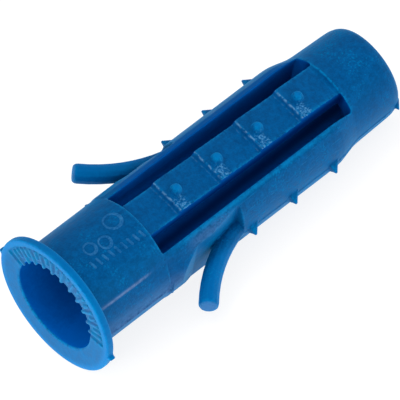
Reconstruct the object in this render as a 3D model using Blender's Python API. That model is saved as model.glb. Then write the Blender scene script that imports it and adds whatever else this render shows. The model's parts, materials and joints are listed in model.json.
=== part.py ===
"""Plastic expansion plug for an 8 mm hole: one moulding, lying as it comes to rest.

Every shape is drawn on the plug's own axes: X runs along it from the collar's face
to the nose, Z points at one of its two toothed tongues, and the whiskers stand out
along Y and -Y. The whole is then laid down on the rims of its collar and nose, so
+X still runs from collar to nose. The origin is under the middle of the plug, on
the surface that it lies on.

Sizes are written in millimetres times MM. Sections are drawn looking along the
axis, with the angle of a point counted from +Z towards -Y.
"""

import math

import bmesh
import bpy
import numpy as np
from mathutils import Euler, Vector

MM = 0.001
TAU = 2.0 * math.pi

# Overall.
LENGTH = 28.7 * MM

# Collar, a thin flange that stops the plug at the wall.
COLLAR_DIAMETER = 10.4 * MM
COLLAR_THICKNESS = 0.6 * MM
COLLAR_EDGE_RADIUS = 0.14 * MM
COLLAR_FILLET = 0.2 * MM

# Sunk crescent in the collar's face, open to the bore, with radial ribs, every
# other one short.
CRESCENT_DEPTH = 0.13 * MM
CRESCENT_RIM = 0.48 * MM
CRESCENT_START = -76.0
CRESCENT_END = 80.0
CRESCENT_STEPS = 26
RIB_COUNT = 21
RIB_WIDTH = 0.24 * MM
RIB_DROP = 0.01 * MM
RIB_OVERHANG = 0.12 * MM
RIB_END_GAP = 0.18 * MM
RIB_SHORT_SHARE = 0.55

# Neck, the plain length behind the collar.
NECK_DIAMETER = 8.0 * MM
NECK_LENGTH = 6.9 * MM

# Expansion zone: two side shells, with a toothed tongue above and below.
SHELL_DIAMETER = 8.1 * MM
ZONE_LENGTH = 17.45 * MM
TONGUE_WIDTH = 2.84 * MM
SLOT_WIDTH = 1.26 * MM
SLOT_CORNER_RADIUS = 0.12 * MM
SHOULDER_ANGLE = 50.0
SHOULDER_CHAMFER_ANGLE = 33.0

# Nose, the closed ring in front of the slots.
TAPER_BEFORE_SLOT_END = 2.0 * MM
TAPER_LENGTH = 2.45 * MM
NOSE_DIAMETER = 7.24 * MM
NOSE_DRAFT = 0.1 * MM
NOSE_TIP_DIAMETER = 6.2 * MM
NOSE_ROUNDING = 1.06 * MM

# Bore for the screw.
BORE_MOUTH_DIAMETER = 6.8 * MM
BORE_MOUTH_ROUNDING = 0.15 * MM
BORE_NECK_DIAMETER = 6.0 * MM
BORE_NOSE_DIAMETER = 4.8 * MM
BORE_END_WALL = 1.2 * MM
BORE_END_CONE = 0.6 * MM
NOSE_HOLE_DIAMETER = 2.6 * MM

# Saw teeth on the tongues: a steep face towards the collar, then a long slope.
TOOTH_COUNT = 4
TOOTH_PITCH = 3.72 * MM
FIRST_TOOTH_GAP = 2.87 * MM
TOOTH_RISE = 0.36 * MM
TOOTH_FACE_LENGTH = 0.18 * MM
TOOTH_CREST_DROP = 0.33 * MM
TONGUE_CROWN_RADIUS = 14.0 * MM
TONGUE_EMBED = 0.6 * MM

# Domed knobs on the tongues, one behind each tooth's crest.
KNOB_SETBACK = 0.33 * MM
KNOB_HEIGHT = 0.46 * MM
KNOB_DIAMETER = 0.85 * MM
KNOB_TOP_SHARE = 0.45

# Spikes: a row along each side and one at the neck.
SIDE_SPIKE_COUNT = 3
SIDE_SPIKE_GAP = 0.48 * MM
SIDE_SPIKE_HEIGHT = 0.6 * MM
SIDE_SPIKE_LENGTH = 0.78 * MM
SIDE_SPIKE_WIDTH = 0.8 * MM
NECK_SPIKE_SETBACK = 0.2 * MM
NECK_SPIKE_HEIGHT = 0.32 * MM
NECK_SPIKE_LENGTH = 0.5 * MM
SPIKE_ROOT_DEPTH = 0.2 * MM
SPIKE_TIP_SHARE = 0.18
SPIKE_LEAN_SHARE = 0.1

# Recesses in the side shells, which the whiskers fold into.
RECESS_GAP = 1.1 * MM
RECESS_RAMP_LENGTH = 1.6 * MM
RECESS_LENGTH = 5.5 * MM
RECESS_DEPTH = 0.63 * MM
RECESS_END_DEPTH = 0.95 * MM
RECESS_LEVEL_SHARE = 0.35

# Whiskers, which leave the recess's far end and sweep back towards the collar.
WHISKER_DIAMETER = 1.34 * MM
WHISKER_FLARE = 0.05
WHISKER_ROOT_DEPTH = 0.6 * MM
WHISKER_ROOT_SINK = 0.13 * MM
WHISKER_ROOT_HEADING = 10.0
WHISKER_TIP_HEADING = 45.5
WHISKER_BEND_RADIUS = 11.2 * MM
WHISKER_END_LENGTH = 0.34 * MM
WHISKER_END_SHARE = 0.64

# Flats that lead into the recess, one above at -Y and one below at +Y.
FLAT_START_ANGLE = 49.0
FLAT_END_ANGLE = 89.0
FLAT_EDGE_ANGLE = 2.5
NECK_PANEL_DEPTH = 0.16 * MM
NECK_PANEL_END_DEPTH = 0.05 * MM

# Witness of the mould's joint: a fine seam along both sides, with nibs.
SEAM_WIDTH = 0.11 * MM
SEAM_HEIGHT = 0.06 * MM
SEAM_TOP_SHARE = 0.2
COLLAR_NIB = 0.26 * MM
NOSE_NIB_HEIGHT = 0.38 * MM
NOSE_NIB_LENGTH = 0.42 * MM
NOSE_NIB_SETBACK = 0.56 * MM
NOSE_NIB_SINK = 0.1 * MM

# Fineness of the curves.
FACETS = 72
BORE_FACETS = 48
WHISKER_FACETS = 12
WHISKER_STEPS = 10
KNOB_FACETS = 16
KNOB_STEPS = 4
CROWN_STEPS = 8
CORNER_STEPS = 3
TAPER_STEPS = 5
NOSE_STEPS = 4
SMOOTH_BELOW = 28.0

# Facets that the plug rolls past its lower tongue before it rests, whiskers clear.
REST_ROLL_FACETS = 6

COLOUR = (0.0, 0.085, 0.30, 1.0)
ROUGHNESS = 0.38

# Places along the axis, measured from the collar's face.
SLOT_START = NECK_LENGTH
SLOT_END = NECK_LENGTH + ZONE_LENGTH
TAPER_START = SLOT_END - TAPER_BEFORE_SLOT_END
RECESS_START = SLOT_START + RECESS_GAP
RECESS_END = RECESS_START + RECESS_LENGTH
NOSE_STRAIGHT_END = LENGTH - NOSE_ROUNDING

# Distances from the axis.
COLLAR_RADIUS = COLLAR_DIAMETER / 2
NECK_RADIUS = NECK_DIAMETER / 2
SHELL_RADIUS = SHELL_DIAMETER / 2
NOSE_RADIUS = NOSE_DIAMETER / 2
NOSE_FRONT_RADIUS = NOSE_RADIUS - NOSE_DRAFT
WINDOW_HALF_WIDTH = TONGUE_WIDTH / 2 + SLOT_WIDTH
TOOTH_CREST_HEIGHT = SHELL_RADIUS - TOOTH_CREST_DROP
TOOTH_ROOT_HEIGHT = TOOTH_CREST_HEIGHT - TOOTH_RISE

# Clearances that keep cutters through their skin and steps from closing up.
STEP = 0.02 * MM
OVERCUT = 1.0 * MM


def clear_scene():
    """Remove whatever the scene holds."""
    for obj in list(bpy.data.objects):
        bpy.data.objects.remove(obj, do_unlink=True)


def make_material():
    """Blue moulded plastic."""
    material = bpy.data.materials.new("blue_plastic")
    material.use_nodes = True
    shader = material.node_tree.nodes["Principled BSDF"]
    shader.inputs["Base Color"].default_value = COLOUR
    shader.inputs["Roughness"].default_value = ROUGHNESS
    shader.inputs["Metallic"].default_value = 0.0
    return material


def section_point(x, radius, angle_deg):
    """Point at a distance from the axis, its angle counted from +Z towards -Y."""
    angle = math.radians(angle_deg)
    return (x, -radius * math.sin(angle), radius * math.cos(angle))


def loft(sections, name):
    """Closed mesh through rings of equal point count, with a flat cap at each end.

    The sides are triangles, because a twisted four-sided face has no one plane to cut.
    """
    bm = bmesh.new()
    rings = [[bm.verts.new(point) for point in section] for section in sections]
    for ring, following in zip(rings, rings[1:]):
        count = len(ring)
        for i in range(count):
            j = (i + 1) % count
            bm.faces.new((ring[i], ring[j], following[j], following[i]))
    bmesh.ops.triangulate(bm, faces=bm.faces[:])
    bm.faces.new(list(reversed(rings[0])))
    bm.faces.new(rings[-1])
    bmesh.ops.recalc_face_normals(bm, faces=bm.faces[:])
    mesh = bpy.data.meshes.new(name)
    bm.to_mesh(mesh)
    bm.free()
    return mesh


def joined(meshes, name):
    """One mesh that holds the bodies of several."""
    bm = bmesh.new()
    for mesh in meshes:
        bm.from_mesh(mesh)
        bpy.data.meshes.remove(mesh)
    mesh = bpy.data.meshes.new(name)
    bm.to_mesh(mesh)
    bm.free()
    return mesh


def arc(centre, radius, start_deg, end_deg, steps):
    """Points on a circular arc about a centre in a plane."""
    return [
        (
            centre[0] + radius * math.cos(math.radians(angle)),
            centre[1] + radius * math.sin(math.radians(angle)),
        )
        for angle in np.linspace(start_deg, end_deg, steps + 1)
    ]


def revolve(profile, facets, name):
    """Solid of revolution about X from (x, radius) points that run from -X to +X."""
    turn = 360.0 / facets
    angles = [turn * (i + 0.5) for i in range(facets)]
    return loft([[section_point(x, r, a) for a in angles] for x, r in profile], name)


def extrude_plan(outline, bottom, top, name):
    """Prism along Z from an outline of (x, y) points."""
    sections = [[(x, y, z) for x, y in outline] for z in (bottom, top)]
    return loft(sections, name)


def rest_turn():
    """Turn that lays the plug on a facet of its collar's rim and one of its nose."""
    roll = REST_ROLL_FACETS * TAU / FACETS
    drop = (COLLAR_RADIUS - NOSE_FRONT_RADIUS) * math.cos(math.pi / FACETS)
    run = NOSE_STRAIGHT_END - (COLLAR_THICKNESS - COLLAR_EDGE_RADIUS)
    return Euler((roll, math.atan2(drop, run), 0.0))


def place(mesh, name, helper=True):
    """Object turned as the plug lies."""
    obj = bpy.data.objects.new(name, mesh)
    bpy.context.scene.collection.objects.link(obj)
    obj.rotation_euler = rest_turn()
    if helper:
        obj.hide_render = True
        obj.display_type = "WIRE"
    return obj


def combine(body, mesh, name, operation):
    """Cut a helper from the body, or join it to the body."""
    helper = place(mesh, name)
    modifier = body.modifiers.new(name, "BOOLEAN")
    modifier.operation = operation
    modifier.solver = "EXACT"
    modifier.object = helper


def from_top_or_bottom(angle_deg):
    """Angle of a direction from the nearer of +Z and -Z, from 0 to 90."""
    folded = abs((angle_deg + 180.0) % 360.0 - 180.0)
    return min(folded, 180.0 - folded)


def flat_share(angle_deg):
    """How far a direction lies on one of the two flats, from 0 outside to 1 inside.

    The flats are a half turn apart, so each half of the mould holds one.
    """
    angle = angle_deg % 180.0
    rise = (angle - FLAT_START_ANGLE) / FLAT_EDGE_ANGLE
    fall = (FLAT_END_ANGLE - angle) / FLAT_EDGE_ANGLE
    return max(0.0, min(1.0, rise, fall))


def neck_radius(x, angle_deg):
    """Neck surface: round, with a panel each side that is deepest at the collar."""
    along = (x - COLLAR_THICKNESS) / (NECK_LENGTH - COLLAR_THICKNESS)
    depth = NECK_PANEL_DEPTH + along * (NECK_PANEL_END_DEPTH - NECK_PANEL_DEPTH)
    return NECK_RADIUS - depth * flat_share(angle_deg)


def shell_radius(radius, angle_deg):
    """Shell surface: round at the sides, planed flatter above its shoulder line."""
    side = from_top_or_bottom(angle_deg)
    if side >= SHOULDER_ANGLE:
        return radius
    lean = math.radians(SHOULDER_ANGLE - SHOULDER_CHAMFER_ANGLE)
    reach = math.radians(max(side, SHOULDER_CHAMFER_ANGLE) - SHOULDER_CHAMFER_ANGLE)
    return radius * math.cos(lean) / math.cos(reach)


def lead_in_radius(x, angle_deg):
    """Shell surface between the slot's start and the recess, with its two flats."""
    radius = shell_radius(SHELL_RADIUS, angle_deg)
    angle = angle_deg % 180.0
    if not FLAT_START_ANGLE < angle < FLAT_END_ANGLE:
        return radius
    middle = (FLAT_START_ANGLE + FLAT_END_ANGLE) / 2
    half = math.radians((FLAT_END_ANGLE - FLAT_START_ANGLE) / 2)
    off = math.radians(angle - middle)
    chord = min(NECK_RADIUS, SHELL_RADIUS) * math.cos(half) / math.cos(off)
    along = (x - SLOT_START) / (RECESS_START - SLOT_START)
    return chord + along * (radius - chord)


def taper_share(x):
    """Share of the taper passed at a place along the axis, eased at both ends."""
    along = max(0.0, min(1.0, (x - TAPER_START) / TAPER_LENGTH))
    return along * along * (3.0 - 2.0 * along)


def taper_radius(x):
    """Outer radius between the side shells and the nose."""
    return SHELL_RADIUS + (NOSE_RADIUS - SHELL_RADIUS) * taper_share(x)


def taper_places():
    """Places along the axis where the taper has a ring."""
    return TAPER_START + TAPER_LENGTH * np.linspace(0.0, 1.0, TAPER_STEPS + 1)


def body_sections():
    """Rings of the outer surface from the collar's face to the nose's end."""
    angles = [360.0 / FACETS * (i + 0.5) for i in range(FACETS)]
    shoulder_lines = [SHOULDER_ANGLE, 180.0 - SHOULDER_ANGLE]
    angles += shoulder_lines + [angle + 180.0 for angle in shoulder_lines]
    angles.sort()

    def ring(x, radius_at):
        return [section_point(x, radius_at(a), a) for a in angles]

    sections = []
    edge = COLLAR_EDGE_RADIUS
    back = COLLAR_THICKNESS - edge
    rim = arc((edge, COLLAR_RADIUS - edge), edge, 180.0, 90.0, CORNER_STEPS)
    rim += arc((back, COLLAR_RADIUS - edge), edge, 90.0, 0.0, CORNER_STEPS)
    for x, radius in rim:
        sections.append(ring(x, lambda a, r=radius: r))
    fillet_centre = (COLLAR_THICKNESS + COLLAR_FILLET, NECK_RADIUS + COLLAR_FILLET)
    for x, radius in arc(fillet_centre, COLLAR_FILLET, 180.0, 270.0, CORNER_STEPS):
        grow = radius - NECK_RADIUS
        sections.append(ring(x, lambda a, x=x, g=grow: neck_radius(x, a) + g))
    sections.append(ring(SLOT_START - STEP, lambda a: neck_radius(SLOT_START, a)))
    for x in (SLOT_START, RECESS_START):
        sections.append(ring(x, lambda a, x=x: lead_in_radius(x, a)))
    for x in taper_places():
        flat = 1.0 - taper_share(x)
        radius = taper_radius(x)
        sections.append(
            ring(x, lambda a, r=radius, f=flat: r + f * (shell_radius(r, a) - r))
        )
    tip_drop = NOSE_FRONT_RADIUS - NOSE_TIP_DIAMETER / 2
    for turn in np.linspace(0.0, math.pi / 2, NOSE_STEPS + 1):
        x = NOSE_STRAIGHT_END + NOSE_ROUNDING * math.sin(turn)
        radius = NOSE_FRONT_RADIUS - tip_drop * (1.0 - math.cos(turn))
        sections.append(ring(x, lambda a, r=radius: r))
    return sections


def bore_core():
    """Core pin that leaves the bore: wide mouth, slow taper, small hole in the nose."""
    mouth = BORE_MOUTH_DIAMETER / 2
    lip = BORE_MOUTH_ROUNDING
    bore_end = LENGTH - BORE_END_WALL
    profile = [(-OVERCUT, mouth + 2.0 * lip)]
    profile += arc((lip, mouth + lip), lip, 180.0, 270.0, CORNER_STEPS)
    profile += [
        (SLOT_START, BORE_NECK_DIAMETER / 2),
        (SLOT_END, BORE_NOSE_DIAMETER / 2),
        (bore_end - BORE_END_CONE, BORE_NOSE_DIAMETER / 2 - NOSE_DRAFT),
        (bore_end, NOSE_HOLE_DIAMETER / 2),
        (LENGTH + OVERCUT, NOSE_HOLE_DIAMETER / 2),
    ]
    return revolve(profile, BORE_FACETS, "bore_core")


def window_cutter():
    """Block that opens the body above and below, between the two side shells."""
    r = SLOT_CORNER_RADIUS
    half = WINDOW_HALF_WIDTH
    outline = []
    corners = (
        (SLOT_START + r, -half + r, 180.0),
        (SLOT_END - r, -half + r, 270.0),
        (SLOT_END - r, half - r, 0.0),
        (SLOT_START + r, half - r, 90.0),
    )
    for x, y, start in corners:
        outline += arc((x, y), r, start, start + 90.0, 2)
    return extrude_plan(outline, -COLLAR_RADIUS, COLLAR_RADIUS, "window_cutter")


def tooth_crests():
    """Places of the tooth crests along the axis."""
    first = SLOT_START + FIRST_TOOTH_GAP
    return [first + i * TOOTH_PITCH for i in range(TOOTH_COUNT)]


def tooth_slope():
    """Fall of a tooth's long back per length."""
    return TOOTH_RISE / (TOOTH_PITCH - TOOTH_FACE_LENGTH)


def tongue_ridge():
    """(x, height, crown radius) points of a tongue's ridge line, from neck to nose.

    The last rise meets the nose ring, so the ring's edge makes one more tooth.
    """
    points = []
    for crest in tooth_crests():
        foot = crest - TOOTH_FACE_LENGTH
        if not points:
            rise = min(TOOTH_RISE, (foot - SLOT_START) * tooth_slope())
            start_height = TOOTH_ROOT_HEIGHT + rise
            points += [(SLOT_START - TONGUE_EMBED, start_height), (SLOT_START, start_height)]
        points.append((foot, TOOTH_ROOT_HEIGHT))
        points.append((crest, TOOTH_CREST_HEIGHT))
    points.append((SLOT_END - TOOTH_FACE_LENGTH, TOOTH_ROOT_HEIGHT))
    ridge = [(x, height, TONGUE_CROWN_RADIUS) for x, height in points]
    ring_height = taper_radius(SLOT_END) - STEP
    ridge.append((SLOT_END, ring_height, ring_height))
    ridge.append((SLOT_END + TONGUE_EMBED, TOOTH_ROOT_HEIGHT, ring_height))
    return ridge


def tongue(side):
    """One toothed tongue, +1 above or -1 below, reaching into the neck and nose."""
    half = TONGUE_WIDTH / 2
    sections = []
    for x, height, crown_radius in tongue_ridge():
        section = []
        for y in np.linspace(-half, half, CROWN_STEPS + 1):
            crown = crown_radius - math.sqrt(crown_radius**2 - y * y)
            section.append((x, y, side * (height - crown)))
        section += [(x, half, 0.0), (x, -half, 0.0)]
        sections.append(section)
    return loft(sections, "tongue")


def spike(x, surface, height, length, width, angle_deg):
    """Shark-fin spike: upright face towards the collar, slope towards the nose."""
    angle = math.radians(angle_deg)
    outward = np.array((0.0, -math.sin(angle), math.cos(angle)))
    across = np.array((0.0, math.cos(angle), math.sin(angle)))
    along = np.array((1.0, 0.0, 0.0))
    foot = np.array((x, 0.0, 0.0)) + outward * surface
    half = width / 2
    footprint = [(0.0, -half), (length, -half), (length, half), (0.0, half)]
    tip_half = SPIKE_TIP_SHARE * half
    tip_start = SPIKE_LEAN_SHARE * length
    tip_end = tip_start + SPIKE_TIP_SHARE * length
    tip = [
        (tip_start, -tip_half),
        (tip_end, -tip_half),
        (tip_end, tip_half),
        (tip_start, tip_half),
    ]
    grow = 1.0 + SPIKE_ROOT_DEPTH / height
    root = [
        (t[0] + grow * (f[0] - t[0]), t[1] + grow * (f[1] - t[1]))
        for f, t in zip(footprint, tip)
    ]

    def corner(point, up):
        return tuple(foot + along * point[0] + across * point[1] + outward * up)

    sections = [
        [corner(p, -SPIKE_ROOT_DEPTH) for p in root],
        [corner(p, height) for p in tip],
    ]
    return loft(sections, "spike")


def knob(x, surface, side):
    """Domed knob on a tongue, +1 above or -1 below, round in plan."""
    radius = KNOB_DIAMETER / 2
    rings = [(-SPIKE_ROOT_DEPTH, radius)]
    for turn in np.linspace(0.0, math.pi / 2, KNOB_STEPS + 1):
        share = KNOB_TOP_SHARE + (1.0 - KNOB_TOP_SHARE) * math.cos(turn)
        rings.append((KNOB_HEIGHT * math.sin(turn), radius * share))
    angles = [TAU * (i + 0.5) / KNOB_FACETS for i in range(KNOB_FACETS)]
    sections = [
        [(x + r * math.cos(a), r * math.sin(a), side * (surface + up)) for a in angles]
        for up, r in rings
    ]
    return loft(sections, "knob")


def all_knobs():
    """Every knob of the two tongues as separate bodies in one mesh."""
    knobs = []
    for crest in tooth_crests():
        setback = KNOB_SETBACK + KNOB_DIAMETER / 2
        surface = TOOTH_CREST_HEIGHT - tooth_slope() * setback
        for side in (1.0, -1.0):
            knobs.append(knob(crest + setback, surface, side))
    return joined(knobs, "knobs")


def all_spikes():
    """Every spike of the plug's sides as separate bodies in one mesh."""
    spikes = []
    side_row = [
        (RECESS_END + SIDE_SPIKE_GAP + i * TOOTH_PITCH, SHELL_RADIUS)
        for i in range(SIDE_SPIKE_COUNT)
    ]
    for angle in (90.0, 270.0):
        for x, surface in side_row:
            spikes.append(
                spike(
                    x,
                    surface,
                    SIDE_SPIKE_HEIGHT,
                    SIDE_SPIKE_LENGTH,
                    SIDE_SPIKE_WIDTH,
                    angle,
                )
            )
        spikes.append(
            spike(
                SLOT_START - NECK_SPIKE_SETBACK,
                NECK_RADIUS,
                NECK_SPIKE_HEIGHT,
                NECK_SPIKE_LENGTH,
                SIDE_SPIKE_WIDTH,
                angle,
            )
        )
    return joined(spikes, "spikes")


def whisker(side):
    """One whisker, +1 at +Y or -1 at -Y, along an arc that leaves the shell."""
    radius = WHISKER_DIAMETER / 2
    bend = WHISKER_BEND_RADIUS
    start = math.radians(WHISKER_ROOT_HEADING)
    end = math.radians(WHISKER_TIP_HEADING)
    root_x = RECESS_END + WHISKER_ROOT_DEPTH
    root_y = SHELL_RADIUS - radius - WHISKER_ROOT_SINK

    def ring(heading, size, ahead):
        cx = root_x - bend * (math.sin(heading) - math.sin(start))
        cy = root_y + bend * (math.cos(start) - math.cos(heading))
        cx -= ahead * math.cos(heading)
        cy += ahead * math.sin(heading)
        points = []
        for i in range(WHISKER_FACETS):
            turn = TAU * (i + 0.5) / WHISKER_FACETS
            off = size * math.cos(turn)
            points.append(
                (
                    cx + off * math.sin(heading),
                    side * (cy + off * math.cos(heading)),
                    size * math.sin(turn),
                )
            )
        return points

    headings = np.linspace(start, end, WHISKER_STEPS)
    flares = np.linspace(1.0, 1.0 + WHISKER_FLARE, WHISKER_STEPS)
    sections = [ring(heading, radius * f, 0.0) for heading, f in zip(headings, flares)]
    tip = radius * flares[-1]
    for turn in np.radians((30.0, 60.0, 90.0)):
        share = WHISKER_END_SHARE + (1.0 - WHISKER_END_SHARE) * math.cos(turn)
        sections.append(ring(end, tip * share, WHISKER_END_LENGTH * math.sin(turn)))
    return loft(sections, "whisker")


def recess_cutter(side):
    """Room in one shell for the folded whisker: a ramp down, then a long floor."""
    level_end = RECESS_START + RECESS_RAMP_LENGTH
    level_end += RECESS_LEVEL_SHARE * (RECESS_LENGTH - RECESS_RAMP_LENGTH)
    depths = [
        (RECESS_START, 0.0),
        (RECESS_START + RECESS_RAMP_LENGTH, RECESS_DEPTH),
        (level_end, RECESS_DEPTH),
        (RECESS_END, RECESS_END_DEPTH),
    ]
    outline = [(x, side * (SHELL_RADIUS - depth)) for x, depth in depths]
    outside = side * (SHELL_RADIUS + OVERCUT)
    outline += [(RECESS_END, outside), (RECESS_START, outside)]
    return extrude_plan(outline, -COLLAR_RADIUS, COLLAR_RADIUS, "recess_cutter")


def crescent_cutter():
    """Sector sunk in the collar's face, from the bore out to the rim."""
    inner = BORE_NECK_DIAMETER / 2
    outer = COLLAR_RADIUS - CRESCENT_RIM
    angles = np.linspace(CRESCENT_START, CRESCENT_END, CRESCENT_STEPS + 1)
    sections = []
    for x in (-OVERCUT, CRESCENT_DEPTH):
        section = [section_point(x, outer, a) for a in angles]
        section += [section_point(x, inner, a) for a in angles[::-1]]
        sections.append(section)
    return loft(sections, "crescent_cutter")


def crescent_ribs():
    """Radial ribs that stand in the crescent, a little lower than the face."""
    inner = BORE_MOUTH_DIAMETER / 2 - RIB_OVERHANG
    outer = COLLAR_RADIUS - CRESCENT_RIM - RIB_END_GAP
    short_inner = outer - RIB_SHORT_SHARE * (outer - inner)
    pitch = (CRESCENT_END - CRESCENT_START) / (RIB_COUNT + 1)
    ribs = []
    for i in range(RIB_COUNT):
        angle = math.radians(CRESCENT_START + (i + 1) * pitch)
        outward = np.array((-math.sin(angle), math.cos(angle)))
        across = np.array((math.cos(angle), math.sin(angle))) * RIB_WIDTH / 2
        foot = inner if i % 2 == 0 else short_inner
        plan = [
            outward * foot - across,
            outward * outer - across,
            outward * outer + across,
            outward * foot + across,
        ]
        sections = [[(x, y, z) for y, z in plan] for x in (RIB_DROP, COLLAR_THICKNESS / 2)]
        ribs.append(loft(sections, "rib"))
    return joined(ribs, "crescent_ribs")


def ridge(path, depth, height, width, side):
    """Fine ridge at Y, +1 or -1, that follows (x, radius) points along the plug."""
    top = width * SEAM_TOP_SHARE
    sections = []
    for x, radius in path:
        low, high = side * (radius - depth), side * (radius + height)
        sections.append([(x, low, -width), (x, high, -top), (x, high, top), (x, low, width)])
    return loft(sections, "ridge")


def seams_and_nibs():
    """Fine raised seam along each side, with nibs where the mould halves meet."""
    neck_end = SLOT_START - NECK_SPIKE_SETBACK
    along_neck = [
        (COLLAR_THICKNESS / 2, NECK_RADIUS),
        (neck_end - SEAM_WIDTH - SPIKE_ROOT_DEPTH, NECK_RADIUS),
    ]
    along_shell = [(RECESS_END + SEAM_WIDTH, SHELL_RADIUS)]
    along_shell += [(x, taper_radius(x)) for x in taper_places() if x < NOSE_STRAIGHT_END]
    along_shell.append((NOSE_STRAIGHT_END, NOSE_FRONT_RADIUS))
    collar_rim = [
        (COLLAR_EDGE_RADIUS / 2, COLLAR_RADIUS),
        (COLLAR_THICKNESS - COLLAR_EDGE_RADIUS / 2, COLLAR_RADIUS),
    ]
    pieces = []
    for side in (-1.0, 1.0):
        for path in (along_neck, along_shell):
            pieces.append(ridge(path, SEAM_WIDTH, SEAM_HEIGHT, SEAM_WIDTH, side))
        pieces.append(ridge(collar_rim, COLLAR_NIB, COLLAR_NIB, COLLAR_NIB, side))
    pieces.append(
        spike(
            LENGTH - NOSE_NIB_SETBACK,
            NOSE_FRONT_RADIUS - NOSE_NIB_SINK,
            NOSE_NIB_HEIGHT,
            NOSE_NIB_LENGTH,
            NOSE_NIB_LENGTH,
            90.0,
        )
    )
    return joined(pieces, "seams_and_nibs")


def build_plug():
    """The whole moulding, cut and joined in the order of its mould's features."""
    body = place(loft(body_sections(), "plug_body"), "plug_body", helper=False)
    recesses = joined([recess_cutter(-1.0), recess_cutter(1.0)], "recesses")
    combine(body, recesses, "recesses", "DIFFERENCE")
    combine(body, window_cutter(), "window", "DIFFERENCE")
    tongues = joined([tongue(1.0), tongue(-1.0)], "tongues")
    combine(body, tongues, "tongues", "UNION")
    whiskers = joined([whisker(-1.0), whisker(1.0)], "whiskers")
    combine(body, whiskers, "whiskers", "UNION")
    combine(body, seams_and_nibs(), "seams_and_nibs", "UNION")
    combine(body, all_spikes(), "spikes", "UNION")
    combine(body, all_knobs(), "knobs", "UNION")
    combine(body, bore_core(), "bore", "DIFFERENCE")
    combine(body, crescent_cutter(), "crescent", "DIFFERENCE")
    combine(body, crescent_ribs(), "ribs", "UNION")
    body.data.materials.append(make_material())
    body.data.shade_smooth()
    body.data.set_sharp_from_angle(angle=math.radians(SMOOTH_BELOW))
    return body


def set_down(body):
    """Move the body and its helpers so that it lies centred over the origin."""
    bpy.context.view_layer.update()
    finished = body.evaluated_get(bpy.context.evaluated_depsgraph_get())
    points = np.array([finished.matrix_world @ v.co for v in finished.data.vertices])
    low, high = points.min(axis=0), points.max(axis=0)
    middle = (low + high) / 2
    for obj in bpy.data.objects:
        obj.location = Vector((-middle[0], -middle[1], -low[2]))


clear_scene()
set_down(build_plug())
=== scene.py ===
"""Plastic expansion plug: its moulded surface, its finish and the studio round it."""

from __future__ import annotations

import json
import logging
import math
from dataclasses import dataclass
from enum import Enum
from functools import reduce

import bmesh
import bpy
import numpy as np
from mathutils import Euler, Matrix, Vector
from mathutils.bvhtree import BVHTree

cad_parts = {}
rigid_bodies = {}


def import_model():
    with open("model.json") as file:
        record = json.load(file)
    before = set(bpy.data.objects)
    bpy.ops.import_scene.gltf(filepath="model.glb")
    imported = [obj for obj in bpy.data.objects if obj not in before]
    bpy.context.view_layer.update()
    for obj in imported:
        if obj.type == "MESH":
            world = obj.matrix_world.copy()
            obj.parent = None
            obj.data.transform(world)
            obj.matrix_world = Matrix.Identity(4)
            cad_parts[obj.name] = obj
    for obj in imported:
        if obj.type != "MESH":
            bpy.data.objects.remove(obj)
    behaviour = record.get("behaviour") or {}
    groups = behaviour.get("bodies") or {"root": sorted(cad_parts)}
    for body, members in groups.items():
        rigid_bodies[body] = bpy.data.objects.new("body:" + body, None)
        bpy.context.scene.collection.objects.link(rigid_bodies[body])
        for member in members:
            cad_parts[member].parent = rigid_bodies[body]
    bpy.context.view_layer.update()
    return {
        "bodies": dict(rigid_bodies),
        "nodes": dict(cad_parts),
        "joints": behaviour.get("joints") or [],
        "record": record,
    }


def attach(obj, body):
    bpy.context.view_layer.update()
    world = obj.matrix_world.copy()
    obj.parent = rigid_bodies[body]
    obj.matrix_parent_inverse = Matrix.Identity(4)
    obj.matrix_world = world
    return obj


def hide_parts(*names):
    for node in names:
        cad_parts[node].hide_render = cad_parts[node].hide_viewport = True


MM = 0.001
TAU = 2.0 * math.pi
LOG = logging.getLogger("expansion_plug")

Socket = bpy.types.NodeSocket
Sockets = dict[str, Socket]
Pair = tuple[float, float]
Triple = tuple[float, float, float]
Colour = Triple


@dataclass(frozen=True)
class Lie:
    """How the plug lies: its own axes in the row frame.

    On its own axes x runs from the collar's face to the nose, z points at the upper
    toothed tongue, and an angle about the axis is counted from z towards -y.
    """

    roll_deg: float = 30.0
    pitch_deg: float = 3.5336
    origin: Triple = (-14.26238 * MM, 0.0, 5.21353 * MM)

    def matrix(self) -> Matrix:
        """Turn and place of the plug's own axes."""
        turn = Euler((math.radians(self.roll_deg), math.radians(self.pitch_deg), 0.0))
        return Matrix.Translation(self.origin) @ turn.to_matrix().to_4x4()


LIE = Lie()


def put(name: str, data: bpy.types.ID) -> bpy.types.Object:
    """Make an object of its data and put it in the scene."""
    obj = bpy.data.objects.new(name, data)
    bpy.context.scene.collection.objects.link(obj)
    return obj


def rows_of(items: object, name: str, width: int = 3, kind: type = float) -> np.ndarray:
    """Read one value of every vertex, edge or face of a mesh.

    Args:
        items: The mesh's vertices, edges or faces.
        name: The value's name.
        width: How many numbers the value has.
        kind: The numbers' type.

    Returns:
        One row for each item.
    """
    values = np.empty(len(items) * width, dtype=kind)
    items.foreach_get(name, values)
    return values.reshape(-1, width)


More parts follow.
